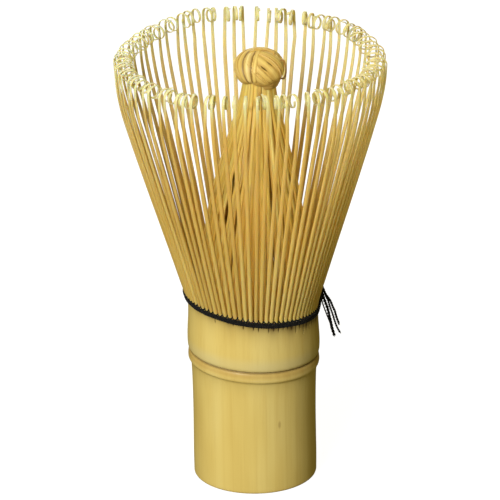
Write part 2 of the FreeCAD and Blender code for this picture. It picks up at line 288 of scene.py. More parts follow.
class Paint:
    """A material under construction, with short ways to add its nodes."""

    def __init__(self, name):
        self.material = bpy.data.materials.new(name)
        self.material.use_nodes = True
        self.tree = self.material.node_tree
        self.tree.nodes.clear()

    def feed(self, socket, value):
        if isinstance(value, bpy.types.NodeSocket):
            self.tree.links.new(value, socket)
        else:
            socket.default_value = value

    def node(self, kind, inputs=None, **settings):
        made = self.tree.nodes.new("ShaderNode" + kind)
        for key, value in settings.items():
            setattr(made, key, value)
        for socket, value in (inputs or {}).items():
            self.feed(made.inputs[socket], value)
        return made

    def place(self):
        """Where a point is in the part's own frame, in metres."""
        return self.node("TexCoord").outputs["Object"]

    def fact(self, name):
        made = self.node("Attribute", attribute_name=name)
        return made.outputs["Vector" if FACTS[name] > 1 else "Fac"]

    def stretched(self, vector, scale):
        return self.node("Mapping", {"Vector": vector, "Scale": scale}).outputs["Vector"]

    def noise(self, vector, scale, detail=3.0, roughness=0.55):
        inputs = {"Vector": self.stretched(vector, scale), "Scale": 1.0}
        inputs |= {"Detail": detail, "Roughness": roughness}
        return self.node("TexNoise", inputs).outputs["Fac"]

    def spots(self, vector, scale, low, high):
        """1 in the middle of scattered cells and 0 between them."""
        cells = self.node("TexVoronoi", {"Vector": self.stretched(vector, scale), "Scale": 1.0})
        return self.band(cells.outputs["Distance"], low, high, 1.0, 0.0)

    def band(self, value, low, high, at_low=0.0, at_high=1.0):
        inputs = dict(enumerate((value, low, high, at_low, at_high)))
        return self.node("MapRange", inputs, interpolation_type="SMOOTHSTEP").outputs["Result"]

    def product(self, first, second):
        return self.node("Math", {0: first, 1: second}, operation="MULTIPLY").outputs[0]

    def ramp(self, value, stops):
        made = self.node("ValToRGB", {"Fac": value})
        elements = made.color_ramp.elements
        for end in (0, -1):
            elements[end].position, elements[end].color = stops[end][0], linear(*stops[end][1])
        for position, colour in stops[1:-1]:
            elements.new(position).color = linear(*colour)
        return made.outputs["Color"]

    def mix(self, share, under, over):
        """Lays the colour over on the colour under, by share."""
        inputs = {0: share, 6: under, 7: linear(*over)}
        return self.node("Mix", inputs, data_type="RGBA").outputs[2]

    def bump(self, height, strength, distance, before=None):
        inputs = {"Height": height, "Strength": strength, "Distance": distance}
        return self.node("Bump", inputs | ({"Normal": before} if before else {})).outputs["Normal"]

    def finish(self, colour, roughness, normal, **constants):
        inputs = {name.replace("_", " "): value for name, value in constants.items()}
        inputs |= {"Base Color": colour, "Roughness": roughness, "Normal": normal}
        shader = self.node("BsdfPrincipled", inputs)
        self.node("OutputMaterial", {"Surface": shader.outputs["BSDF"]})
        return self.material


DEEP_BROWN = (62, 36, 14)
WARM_BAMBOO = (228, 178, 84)


def culm_skin():
    """The culm's smooth skin: straw yellow, with upright fibres, a warm band at the node whose upper part is
    painted shade, and painted shade in the splits and under the thread.
    """
    paint = Paint("culm_skin")
    place = paint.place()
    broad = paint.noise(place, (70, 70, 22), 2.0)
    streak = paint.noise(place, (620, 620, 9), 4.0, 0.6)
    hair = paint.noise(place, (2600, 2600, 45), 3.0, 0.6)
    colour = paint.ramp(broad, [(0.3, (216, 188, 104)), (0.5, (226, 201, 118)), (0.72, (232, 211, 134))])
    colour = paint.mix(paint.band(streak, 0.42, 0.75, 0.0, 0.35), colour, (208, 176, 88))
    colour = paint.mix(paint.band(hair, 0.5, 0.8, 0.0, 0.25), colour, (198, 164, 82))
    fleck = paint.spots(place, (310, 310, 120), 0.05, 0.16)
    rare = paint.band(paint.noise(place, (95, 95, 60), 1.0), 0.56, 0.66, 0.0, 0.4)
    colour = paint.mix(paint.product(fleck, rare), colour, (150, 108, 48))
    warm = paint.product(paint.fact("warm"), paint.band(streak, 0.2, 0.7, 0.7, 1.0))
    colour = paint.mix(warm, colour, (190, 155, 84))
    pale = paint.product(paint.fact("pale"), paint.band(broad, 0.3, 0.7, 0.5, 1.0))
    colour = paint.mix(pale, colour, (220, 204, 144))
    colour = paint.mix(paint.fact("dark"), colour, DEEP_BROWN)
    rough = paint.band(hair, 0.3, 0.8, 0.34, 0.48)
    normal = paint.bump(streak, 0.25, 0.00006)
    normal = paint.bump(hair, 0.3, 0.00002, normal)
    return paint.finish(colour, rough, normal, Coat_Weight=0.05, Coat_Roughness=0.3, Specular_IOR_Level=0.25)


def culm_flesh():
    """Cut bamboo: pale, with darker bundles of fibre."""
    paint = Paint("culm_flesh")
    place = paint.place()
    broad = paint.noise(place, (160, 160, 30), 3.0)
    bundle = paint.spots(place, (1500, 1500, 40), 0.12, 0.42)
    fine = paint.noise(place, (5200, 5200, 160), 3.0)
    colour = paint.ramp(broad, [(0.3, (206, 172, 106)), (0.55, (222, 194, 132)), (0.75, (232, 210, 154))])
    colour = paint.mix(paint.product(bundle, 0.55), colour, (158, 112, 56))
    colour = paint.mix(paint.band(fine, 0.5, 0.8, 0.0, 0.3), colour, (176, 134, 74))
    colour = paint.mix(paint.fact("dark"), colour, DEEP_BROWN)
    normal = paint.bump(bundle, 0.5, 0.00005)
    normal = paint.bump(fine, 0.4, 0.00003, normal)
    return paint.finish(colour, 0.72, normal, Specular_IOR_Level=0.25)


def tine_bamboo(name, tones, edge, gap, tip, edge_share, glow, tip_glow=None):
    """Split bamboo, with fibres along each strip, a tone for each strip and browner cut edges.

    glow is how much light passes through the strips, and tip_glow is the same at their thin tips.
    """
    paint = Paint(name)
    fibre = paint.fact("fibre")
    slow = paint.noise(fibre, (260, 260, 26), 2.0)
    streak = paint.noise(fibre, (3400, 3400, 55), 4.0, 0.6)
    hair = paint.noise(fibre, (9000, 9000, 200), 2.0)
    drift = paint.band(slow, 0.3, 0.7, -0.16, 0.16)
    tone = paint.node("Math", {0: paint.fact("tone"), 1: drift}, operation="ADD").outputs[0]
    colour = paint.ramp(tone, list(zip((0.0, 0.5, 1.0), tones, strict=True)))
    colour = paint.mix(paint.band(streak, 0.46, 0.74, 0.0, 0.5), colour, edge)
    colour = paint.mix(paint.band(hair, 0.5, 0.8, 0.0, 0.25), colour, gap)
    side = paint.product(paint.fact("edge"), paint.band(slow, 0.3, 0.7, *edge_share))
    colour = paint.mix(side, colour, edge)
    colour = paint.mix(paint.fact("warm"), colour, WARM_BAMBOO)
    colour = paint.mix(paint.fact("tip"), colour, tip)
    colour = paint.mix(paint.fact("dark"), colour, gap)
    rough = paint.band(streak, 0.3, 0.75, 0.36, 0.56)
    normal = paint.bump(streak, 0.35, 0.00004)
    normal = paint.bump(hair, 0.25, 0.00001, normal)
    through = paint.band(paint.fact("tip"), 0.0, 1.0, glow, tip_glow) if tip_glow else glow
    light = {"Subsurface_Weight": through, "Subsurface_Radius": (1.0, 0.74, 0.36), "Subsurface_Scale": 0.0011}
    return paint.finish(colour, rough, normal, Specular_IOR_Level=0.4, **light)


def thread_cotton():
    """Matt black twisted thread."""
    paint = Paint("thread_cotton")
    fibre = paint.fact("fibre")
    lint = paint.noise(fibre, (9000, 9000, 1800), 3.0)
    colour = paint.ramp(lint, [(0.3, (10, 10, 11)), (0.6, (19, 19, 20)), (0.85, (40, 40, 42))])
    normal = paint.bump(lint, 0.6, 0.00004)
    return paint.finish(colour, 0.85, normal, Sheen_Weight=0.08, Sheen_Roughness=0.5, Specular_IOR_Level=0.15)


SKIN, FLESH, THREAD = culm_skin(), culm_flesh(), thread_cotton()
ON_SKIN, ON_FLESH = 0, 1  # their places in a culm piece's list of materials
OUTER_BAMBOO = tine_bamboo(
    "outer_tine_bamboo",
    tones=[(205, 172, 90), (225, 196, 110), (240, 216, 134)],
    edge=(194, 158, 74),
    gap=(144, 104, 38),
    tip=(238, 226, 172),
    edge_share=(0.1, 0.36),
    glow=0.45,
    tip_glow=0.9,
)
INNER_BAMBOO = tine_bamboo(
    "inner_tine_bamboo",
    tones=[(218, 173, 75), (247, 211, 109), (255, 234, 148)],
    edge=(210, 160, 64),
    gap=(128, 80, 24),
    tip=(246, 226, 150),
    edge_share=(0.25, 0.6),
    glow=0.44,
)
KNOT_BAMBOO = tine_bamboo(
    "knot_bamboo",
    tones=[(194, 156, 78), (230, 203, 116), (250, 234, 168)],
    edge=(186, 144, 66),
    gap=(96, 60, 18),
    tip=(240, 214, 132),
    edge_share=(0.3, 0.75),
    glow=0.0,
)

# ------------ the culm

NODE_SLOPE = -0.054  # the node falls towards +X, as grown nodes do
NODE_RISE = 0.65
NODE_FOOT, GROOVE_HEIGHT = 30.0, 31.95
SEPTUM_FOOT, SEPTUM_TOP = 30.4, 31.2
BORE, COLLAR_BORE = 12.2, 12.6  # radii of the hollow under and over the node
COLLAR_TOP = 46.1
COLLAR_SHARED = 40.0  # below this height the collar is the same all round
THREAD_HEIGHT, THREAD_FALL = 45.55, 2.19
SPLINTS, PER_SPLINT = 16, 5
TINES = SPLINTS * PER_SPLINT
PITCH = TURN / TINES
SPLIT_HALF = 0.19  # half the width of a split between two tines' roots
CULM_SIDES = 288
COLLAR_SIDES = 12 * TINES  # fine enough for the splits between the tines

OUTER_RADIUS = smooth_curve(  # the whisk's outside from the collar to the rim, as (height, radius)
    [(40.0, 15.88), (41.5, 15.82), (43.0, 15.8), (44.8, 15.88), (46.3, 16.2)]
    + [(52.0, 17.9), (60.0, 20.3), (68.0, 22.75), (76.0, 25.2), (84.0, 27.6)]
    + [(91.0, 29.65), (97.0, 31.25), (102.0, 32.15), (106.5, 32.5), (109.0, 32.55)]
)


def node_tilt(points):
    """Tilts the culm's upper part, so that the node isn't level, and lifts the node a little."""
    points = points.copy()
    height = points[..., 2].copy()
    points[..., 2] += NODE_SLOPE * points[..., 0] * ease(7, 26, height)
    points[..., 2] += NODE_RISE * ease(14, 27, height) * (1 - ease(35, 42, height))
    return points


def culm_waver(angle, height):
    """How far the skin stands off a true round, in millimetres."""
    oval = 0.05 * np.cos(2 * angle + 0.6) + 0.03 * np.cos(3 * angle + 2.0 + 0.02 * height)
    ribs = np.cos(23 * angle + 0.8 * np.sin(0.11 * height)) + 0.8 * np.cos(37 * angle + 1.3)
    return oval + 0.006 * ribs


def thread_height(angle):
    """The height of the middle of the wound thread, a flat ring that falls towards +X."""
    return THREAD_HEIGHT - THREAD_FALL * np.cos(angle)


def node_tint_and_shade(height):
    """The tan tint of the node's ridge, with painted shade on its upper part, strongest just under its
    groove.
    """
    ridge = ease(29.1, 29.5, height) * (1 - ease(GROOVE_HEIGHT - 0.2, GROOVE_HEIGHT + 0.3, height))
    # painted shade: the ridge's upper part is painted darker
    upper = ease(29.9, 31.0, height)
    return ridge * (0.08 + 0.62 * upper)


def node_paleness(height):
    """The paler stretch of skin just above the groove."""
    return 0.75 * ease(GROOVE_HEIGHT, GROOVE_HEIGHT + 0.5, height) * (1 - ease(33.6, 36.4, height))


def groove_dark(height):
    """Darkens the node's groove, and paints faint shade at the ridge's foot and under it."""
    groove = 0.6 * np.exp(-(((height - GROOVE_HEIGHT) / 0.32) ** 2))
    ledge = 0.02 * np.exp(-(((height - 29.0) / 0.22) ** 2))
    under = 0.07 * ease(24.0, 28.8, height) * (1 - ease(28.9, 29.3, height))
    return groove + ledge + under


def make_turned(name, node, outline, segments, paints, skinned, facts=None, reshape=None):
    """A ring of revolution from an outline of (radius, height) that runs up outside and down inside.

    paints gives each row its material, and skinned is 1 for rows of skin and 0 for cut bamboo.
    """
    angle = round_angles(segments)[None, :]
    radius, height = (column[:, None] for column in np.array(outline, float).T)
    skin = np.array(skinned, float)[:, None]
    radius = radius + skin * culm_waver(angle, height)
    height = height + 0 * angle
    if reshape:
        radius, height = reshape(angle, radius, height)
    points = node_tilt(polar(radius, angle, height))
    given = {
        "fibre": points * MM,
        "warm": node_tint_and_shade(height) * skin,
        "pale": node_paleness(height) * skin,
        "dark": groove_dark(height) * skin,
    }
    given |= facts(angle, height, skin, given) if facts else {}
    piece = Piece(name)
    given = {fact: value[::-1] for fact, value in given.items()}
    piece.grid(points[::-1], given, wrap_rows=True, paint=np.array(paints)[::-1])
    piece.make([SKIN, FLESH], node)


def make_handle():
    profile = smooth_curve(
        [(0.6, 15.0), (4, 15.04), (10, 15.0), (18, 14.98), (23, 15.05), (26, 15.14), (28.0, 15.26)]
        + [(28.6, 15.34), (28.9, 15.4), (29.15, 15.62), (29.4, 15.84), (29.7, 15.94), (NODE_FOOT, 15.97)]
    )
    stretches = np.linspace(2, 24, 34), np.linspace(24.4, 29.0, 14)[:-1], np.linspace(29.0, NODE_FOOT, 16)
    rise = np.concatenate([[0.6, 1.2], *stretches])
    foot = [(BORE + 0.25, 0.0), (12.9, 0.0), (13.6, 0.0), (14.2, 0.0)]
    foot += [(14.62, 0.0), (14.8, 0.04), (14.93, 0.16), (15.0, 0.34)]
    skin = [(float(profile(z)), z) for z in rise]
    bore = [(BORE + 0.1, NODE_FOOT)] + [(BORE, z) for z in np.linspace(29, 0.6, 20)] + [(BORE + 0.05, 0.2)]
    outline = foot + skin + bore
    paints = [ON_FLESH] * 5 + [ON_SKIN] * (2 + len(skin)) + [ON_FLESH] * (1 + len(bore))
    skinned = [0.0] * 5 + [1.0] * (3 + len(skin)) + [0.0] * len(bore)

    def facts(angle, height, skin, given):
        foot_edge = 0.35 * (1 - ease(0.1, 0.9, height)) * skin
        return {"warm": np.maximum(given["warm"], foot_edge)}

    make_turned("culm_handle", "handle_tube", outline, CULM_SIDES, paints, skinned, facts)


def make_node_band():
    profile = smooth_curve(
        [(NODE_FOOT, 15.97), (30.3, 15.97), (30.7, 15.94), (31.1, 15.89)]
        + [(31.45, 15.8), (31.7, 15.65), (31.82, 15.48), (GROOVE_HEIGHT, 15.42)]
    )
    rise = np.linspace(NODE_FOOT, GROOVE_HEIGHT, 30)
    skin = [(float(profile(z)), z) for z in rise]
    bore = [(BORE + 0.1, GROOVE_HEIGHT), (BORE + 0.1, 31.0), (BORE + 0.1, NODE_FOOT)]
    outline = skin + bore
    paints = [ON_SKIN] * (len(skin) - 1) + [ON_FLESH] * (1 + len(bore))
    skinned = [1.0] * len(skin) + [0.0] * len(bore)
    make_turned("culm_node_band", "node_ring", outline, CULM_SIDES, paints, skinned)


def split_depths():
    """How far each split between two tines runs down below the thread."""
    rng = random.Random(5)
    depths = np.array([rng.uniform(0.5, 1.7) for _ in range(TINES)])
    for i in range(TINES):
        if rng.random() < 0.14:
            depths[i] += rng.uniform(0.6, 1.6)
    return depths


def make_collar():
    """The stretch above the node, split at its top into the roots of the tines."""
    profile = smooth_curve(
        [(GROOVE_HEIGHT, 15.42), (32.05, 15.5), (32.25, 15.76), (32.6, 15.93)]
        + [(33.4, 16.04), (35.2, 16.08), (38, 15.98), (40, 15.88)]
    )
    low = np.concatenate([np.linspace(GROOVE_HEIGHT, 33, 18)[:-1], np.linspace(33, COLLAR_SHARED, 15)])
    share = np.linspace(0, 1, 40)[1:]
    skin = [(float(profile(z)), z) for z in low] + [(15.8, s) for s in share]
    inside = [(15.0, COLLAR_TOP), (COLLAR_BORE + 0.3, COLLAR_TOP), (COLLAR_BORE, COLLAR_TOP - 0.3)]
    inside += [(COLLAR_BORE, z) for z in np.linspace(42.5, GROOVE_HEIGHT, 8)]
    outline = skin + [(15.3, COLLAR_TOP)] + inside
    paints = [ON_SKIN] * (len(skin) - 1) + [ON_FLESH] * (2 + len(inside))
    skinned = [1.0] * len(skin) + [0.0] * (1 + len(inside))
    depths = split_depths()
    last_low, first_top = len(low), len(skin)

    def split_share(angle, height):
        """1 in the middle of a split and 0 beside it or below its end."""
        nearest = np.round(angle / PITCH)
        off = np.abs(angle - nearest * PITCH) * 16
        foot = thread_height(angle) - 0.6 - depths[nearest.astype(int) % TINES]
        return np.clip(1 - off / SPLIT_HALF, 0, 1) * ease(0, 0.8, height - foot)

    def reshape(angle, radius, height):
        """Stretches the skin's last rows up to the thread, and cuts the splits into them."""
        ceiling = thread_height(angle)
        radius, height = radius.copy(), height.copy()
        stretch = height[last_low:first_top] * (ceiling - COLLAR_SHARED) + COLLAR_SHARED
        height[last_low:first_top] = stretch
        radius[last_low:first_top] = OUTER_RADIUS(stretch) + culm_waver(angle, stretch)
        radius[:first_top] -= 0.3 * split_share(angle, height[:first_top])
        radius[first_top - 1] -= 0.02
        height[first_top : first_top + 3] = ceiling
        height[first_top + 3] = ceiling - 0.3
        radius[first_top] = OUTER_RADIUS(ceiling) - 0.75
        return radius, height

    def facts(angle, height, skin, given):
        # painted shade: the splits between the tines' roots are painted dark
        splits = split_share(angle, height) * skin
        # painted shade under the thread: darker and warmer for a few millimetres below it, reaching further
        # down towards the front
        below = np.clip(thread_height(angle) - 0.75 - height, 0, None)
        patchy = 0.85 + 0.15 * np.sin(19 * angle + 1.0) + 0.15 * np.sin(31 * angle) * np.cos(7 * angle)
        fade = 0.85 + 0.75 * np.clip(-np.sin(angle), 0, 1) ** 2
        shade = 0.72 * np.exp(-below / fade) * patchy * skin
        warm_shade = 0.25 * np.exp(-below / (2 * fade)) * patchy * skin
        dark = np.clip(given["dark"] + 0.7 * splits + shade, 0, 1)
        return {"warm": given["warm"] + warm_shade, "dark": dark}

    make_turned("culm_collar", "collar", outline, COLLAR_SIDES, paints, skinned, facts, reshape)


def make_septum():
    """The thin wall across the culm at the node, domed as grown."""
    rings = np.concatenate([[0.15], np.linspace(1.0, BORE, 18)])
    dome = 0.7 * (1 - (rings / BORE) ** 2)
    dome = dome - 0.25 * np.exp(-((rings / 2.2) ** 2))
    lower, upper = (np.stack([rings, level + dome], axis=-1) for level in (SEPTUM_FOOT, SEPTUM_TOP))
    outline = np.concatenate([lower, upper[::-1]])
    angle = round_angles(96)
    ripple = 0.05 * np.cos(9 * angle)[None, :] * (outline[:, :1] / BORE)
    points = node_tilt(polar(outline[:, :1] + 0 * angle, angle[None, :], outline[:, 1:] + ripple))
    piece = Piece("culm_septum")
    piece.grid(points[::-1], {"fibre": points[::-1] * MM, "dark": 0.15})
    piece.make([FLESH], "node_septum")


make_handle()
make_node_band()
make_collar()
make_septum()

# ------------ outer tines

FIRST_TINE = PITCH / 2
RIM_HEIGHT = 108.1
RIM_OFFSET = smooth_curve(  # how far the rim stands off its mean height, by degrees round from +X
    [(0, -1.6), (12, -1.0), (25, -0.5), (40, -0.15), (50, 0.0), (58, -0.45), (66, -0.4), (80, -0.15)]
    + [(95, 0.1), (108, 0.3), (116, 0.5), (122, 0.45), (130, -0.1), (140, -0.5), (152, -0.65)]
    + [(165, -0.7), (180, -0.9), (200, -0.9), (220, -0.8), (240, -0.6), (255, -0.2), (270, 0.0)]
    + [(285, -0.2), (300, -0.5), (320, -0.7), (340, -1.2), (360, -1.6)]
)
OUTER_WIDTH = smooth_curve(
    [(42, 0.97), (52, 1.0), (64, 1.0), (80, 1.0), (92, 0.93), (100, 0.86), (105, 0.78), (109, 0.7)]
)
OUTER_THICK = smooth_curve([(42, 0.85), (60, 0.75), (80, 0.6), (95, 0.44), (103, 0.3), (109, 0.18)])
JOINT_RADIUS, JOINT_HEIGHT = 15.8, 46.3  # a point at the root of each splint, as radius and height
BLEND_TOP = 72.0


def outer_tine(number, rng):
    """One outer tine: from its root at the thread up the flared side and round its inward curl.

    The first and last tine of a splint lean and curl towards the others, so that bent splints pass freely.
    """
    toward = {0: 1, PER_SPLINT - 1: -1}.get(number % PER_SPLINT, 0)
    angle = FIRST_TINE + number * PITCH
    root = float(thread_height(angle)) - 0.1
    rim = RIM_HEIGHT + float(RIM_OFFSET(math.degrees(angle))) + rng.gauss(0, 0.12)
    ends, counts = (root, root + 4, 92, rim), (4, 21, 17)
    stretches = [np.linspace(*ends[i : i + 2], count, False) for i, count in enumerate(counts)]
    height = np.concatenate([*stretches, [rim]])
    share = (height - root) / (rim - root)
    thick, width = OUTER_THICK(height), OUTER_WIDTH(height) * rng.uniform(0.93, 1.07)
    sway = np.clip(rng.gauss(0, 0.2), -0.4, 0.4)
    bow = np.clip(rng.gauss(0, 0.16), -0.3, 0.3)
    nod = np.clip(rng.gauss(0, 0.28), -0.5, 0.5)
    drift = sway * share**1.5 + bow * np.sin(math.pi * share) + nod * ease(0.82, 1.0, share) * share
    drift = toward * abs(drift) if toward else drift
    radius = OUTER_RADIUS(height) - thick / 2 + rng.gauss(0, 0.14) * share
    stem = polar(radius, angle, height) + sideways(angle) * drift[:, None]

    twist = math.radians(4 * math.sin(5 * angle) + np.clip(rng.gauss(0, 7), -14, 14))
    inward = -math.cos(twist) * outward(angle) + math.sin(twist) * sideways(angle)
    deeper = 1 + 0.3 * abs(math.cos(angle)) ** 1.5
    deep, tall = deeper * rng.uniform(1.58, 1.8), rng.uniform(1.62, 1.84)
    spread = rng.uniform(0.42, 0.75) * (0.6 + 0.4 * abs(math.cos(angle)))
    helix = math.copysign(spread, toward or twist)
    inset = deeper * rng.uniform(0.4, 1.1)
    sweep = math.radians(rng.uniform(355, 490))
    turn = np.linspace(0, sweep, 54)[1:]
    tighten = 1 - 0.1 * turn / TURN
    reach = deep * (1 - np.cos(turn) * tighten) + inset * (turn / TURN) ** 1.5
    lift = tall * np.sin(turn) * tighten
    curl = stem[-1] + inward * reach[:, None] + UP * lift[:, None]
    curl += sideways(angle) * (helix * (turn / TURN) ** 1.2)[:, None]
    path = np.concatenate([stem, curl])

    plane = np.cross(inward, UP)
    into = np.concatenate([ease(0.9, 1.0, share), np.ones(len(curl))])[:, None]
    side = (1 - into) * sideways(angle) + into * plane
    end = np.linspace(0, 1, len(curl))
    width = np.concatenate([width, width[-1] * (1 - 0.2 * end)])
    thick = np.concatenate([thick, thick[-1] * (1 - 0.25 * end)])
    back = math.sin(angle)
    # paler upper stems and tips: partly the bamboo's own colour, partly painted light that lifts the shaded
    # insides of the curls; the stems paler at the back, the tips paler on the -X side
    stem_pale = 0.27 + 0.22 * back
    tip_pale = 0.8 - 0.2 * math.cos(angle)
    tip = stem_pale * ease(0.35, 0.8, share) + (tip_pale - stem_pale) * ease(0.85 - 0.06 * back, 1.0, share)
    tip = np.concatenate([tip, np.full(len(curl), tip_pale)])
    warm = 0.6 * max(0.0, -back) ** 4 * ease(0.2, 0.55, share) * (1 - ease(0.86, 1.0, share))
    warm = np.concatenate([warm, np.zeros(len(curl))])
    # painted light and shade: beyond the random tone, tines on the +X side are painted paler and tines at the
    # back darker, and the curls on the +X side darker
    tone = np.clip(rng.gauss(0.5, 0.16) + 0.3 * math.cos(angle) - 0.3 * max(0.0, back), 0, 1)
    tone = tone - 0.5 * max(0.0, math.cos(angle)) * into[:, 0]
    # painted shade at the roots, just above the thread
    rooted = 0.12 * (1 - ease(0, 1.2, height - root))
    dark = np.concatenate([rooted, np.zeros(len(curl))])
    return path, side, width, thick, tone, number + 1, 0.05, dark, tip, warm


def make_splint(kind, splint, seed, shape, bamboo, blend=None):
    """One splint's tines as one piece. shape gives what add_strip needs for each tine."""
    rng = random.Random(seed + splint)
    piece = Piece(f"{kind}_strips_{splint + 1:02d}")
    for place in range(PER_SPLINT):
        add_strip(piece, *shape(splint * PER_SPLINT + place, rng))
    piece.make([bamboo], f"{kind}_tines_{splint + 1:02d}", blend)


def make_outer_tines():
    for splint in range(SPLINTS):
        middle = FIRST_TINE + (splint * PER_SPLINT + (PER_SPLINT - 1) / 2) * PITCH
        foot, top = (Vector(polar(JOINT_RADIUS, middle, height)) * MM for height in (JOINT_HEIGHT, BLEND_TOP))
        body = f"outer_splint_{splint + 1:02d}"
        make_splint("outer", splint, 400, outer_tine, OUTER_BAMBOO, (body, foot, top))


make_outer_tines()

# ------------ inner tines and the knot

CONE_LEAN = math.radians(2.2)
CONE_FOOT, CONE_TOP = 46.7, 103.2
STRAY = 56  # this strip crosses its neighbours under the knot
STRAY_REACH = 2.3
# Slots that stay open, as (strip to their left, height, half length, how far each side gives way).
SLOTS = ((51, 80.0, 3.8, 0.8), (50, 71.0, 3.4, 0.46), (49, 64.0, 2.0, 0.34), (73, 77.5, 3.0, 0.7))
INNER_RADIUS = smooth_curve(  # the cone's outside, as (height, radius)
    [(43, 13.7), (46.5, 13.6), (56, 12.8), (66, 11.8), (72, 10.9), (78.5, 9.5)]
    + [(84.5, 8.0), (90.6, 6.4), (97.3, 4.65), (101.5, 3.95), (105, 3.6)]
)


def lean(points):
    """Leans the cone and its knot about the middle of the cone's foot, towards +X."""
    x, y, z = points[..., 0], points[..., 1], points[..., 2] - CONE_FOOT
    c, s = math.cos(CONE_LEAN), math.sin(CONE_LEAN)
    return np.stack([x * c + z * s, y, CONE_FOOT + z * c - x * s], axis=-1)


def lean_vectors(vectors):
    return lean(vectors + CONE_FOOT * UP) - lean(CONE_FOOT * UP)


def slot_push(number, height):
    """How far a strip of the cone gives way sideways to leave the slots open."""
    push = 0 * height
    for left, middle, half, opening in SLOTS:
        away = number - left - 0.5
        share = math.exp(-(((abs(away) - 0.5) / 2.2) ** 2))
        push = push + math.copysign(opening * share, away) * np.exp(-(((height - middle) / half) ** 2))
    return push


def inner_tine(number, rng):
    """One strip of the inner cone. Strips slide under their neighbours as the cone narrows."""
    angle = FIRST_TINE + number * PITCH
    root = min(CONE_FOOT - 0.3, float(thread_height(angle)) - 0.2)
    height = np.concatenate([np.linspace(root, 72, 13)[:-1], np.linspace(72, CONE_TOP, 34)])
    layer = number % 3
    under = layer * 0.4 * ease(70, 93, height)
    thick = 0.6 - 0.2 * ease(50, 95, height)
    crossing = STRAY_REACH * ease(95.2, 100.8, height)
    stray = crossing / STRAY_REACH if number == STRAY else 0 * height
    under = under - 0.6 * stray
    loose = rng.gauss(0, 0.08) * ease(50, 70, height) * (1 - ease(92, 100, height))
    radius = INNER_RADIUS(height) - thick / 2 - under + loose
    wander = rng.gauss(0, 0.28) * np.sin(math.pi * ease(46, 104, height))
    wander = wander + rng.gauss(0, 0.22) * ease(86, 102, height)
    bend = (wander + STRAY_REACH * stray + slot_push(number, height)) / radius
    path = polar(radius, angle + bend, height)
    width = (0.96 + 0.12 * ease(70, 96, height)) * rng.uniform(0.92, 1.1)
    side = sideways(angle + bend) + outward(angle + bend) * rng.gauss(0, 0.1)
    # painted shade: strips lying under their neighbours are painted darker, and so is the cone's foot
    tone = np.clip(rng.gauss(0.5, 0.24) - 0.08 * layer, 0, 1) + 0.12 * ease(84, 97, height) + 0.5 * stray
    dark = 0.2 * (1 - ease(46, 56, height)) + 0.1 * layer * ease(78, 96, height)
    if 0 < abs(number - STRAY) < 6:  # painted shade where the strips dive under its left edge
        left = crossing - (number - STRAY) * PITCH * radius
        dark = dark + 0.8 * ease(95.6, 96.8, height) * np.exp(-(((left - 0.8) / 0.35) ** 2))
    return lean(path), lean_vectors(side), width, thick, tone, number + 101, 0.06, dark, 0.9 * stray


for inner_splint in range(SPLINTS):
    make_splint("inner", inner_splint, 900, inner_tine, INNER_BAMBOO)

KNOT_MIDDLE = np.array([0.0, 0.0, 105.5])
KNOT_SIZE = np.array([5.35, 5.35, 3.9])


def knot_surface(directions, lift):
    """Points on the knot's rounded body, lifted off it by lift."""
    shoulder = 0.07 * np.abs(directions[..., 2:]) * np.hypot(directions[..., :1], directions[..., 1:2])
    points = unit(directions) * (1 + shoulder) * KNOT_SIZE
    return KNOT_MIDDLE + points + unit(directions / KNOT_SIZE) * np.asarray(lift, float)[..., None]


def add_wrap(piece, rng, pole, heading, start, end, width, lift, pinch=0.0, dark=0.0):
    """One strip wound over the knot from a pole.

    heading is its direction there in degrees, 0 towards the front and 90 towards +X.
    start and end are degrees from the pole. pinch narrows the strip halfway.
    """
    pole = unit(np.array(pole, float))
    front = across(np.array([0.0, -1.0, -0.3]), pole)
    right = np.cross(pole, front)
    way = math.cos(math.radians(heading)) * front + math.sin(math.radians(heading)) * right
    angle = np.radians(np.linspace(start, end, 48))[:, None]
    directions = pole * np.cos(angle) + way * np.sin(angle)
    share = np.linspace(0, 1, len(angle))
    ends = ease(0, 0.14, share) * (1 - ease(0.86, 1.0, share))
    lifts = lift * ends - 0.35 * (1 - ends)
    path = knot_surface(directions, lifts)
    normal = unit(directions / KNOT_SIZE)
    side = np.cross(tangents(path), normal)
    tone = np.clip(rng.gauss(0.5, 0.24), 0, 1)
    widths = width * (0.72 + 0.28 * ends - pinch * np.sin(math.pi * share) ** 30)
    shade = np.maximum(dark, 0.25 * (1 - ends))
    seed = rng.uniform(200, 400)
    add_strip(piece, lean(path), lean_vectors(side), widths, 0.42, tone, seed, 0.09, shade)


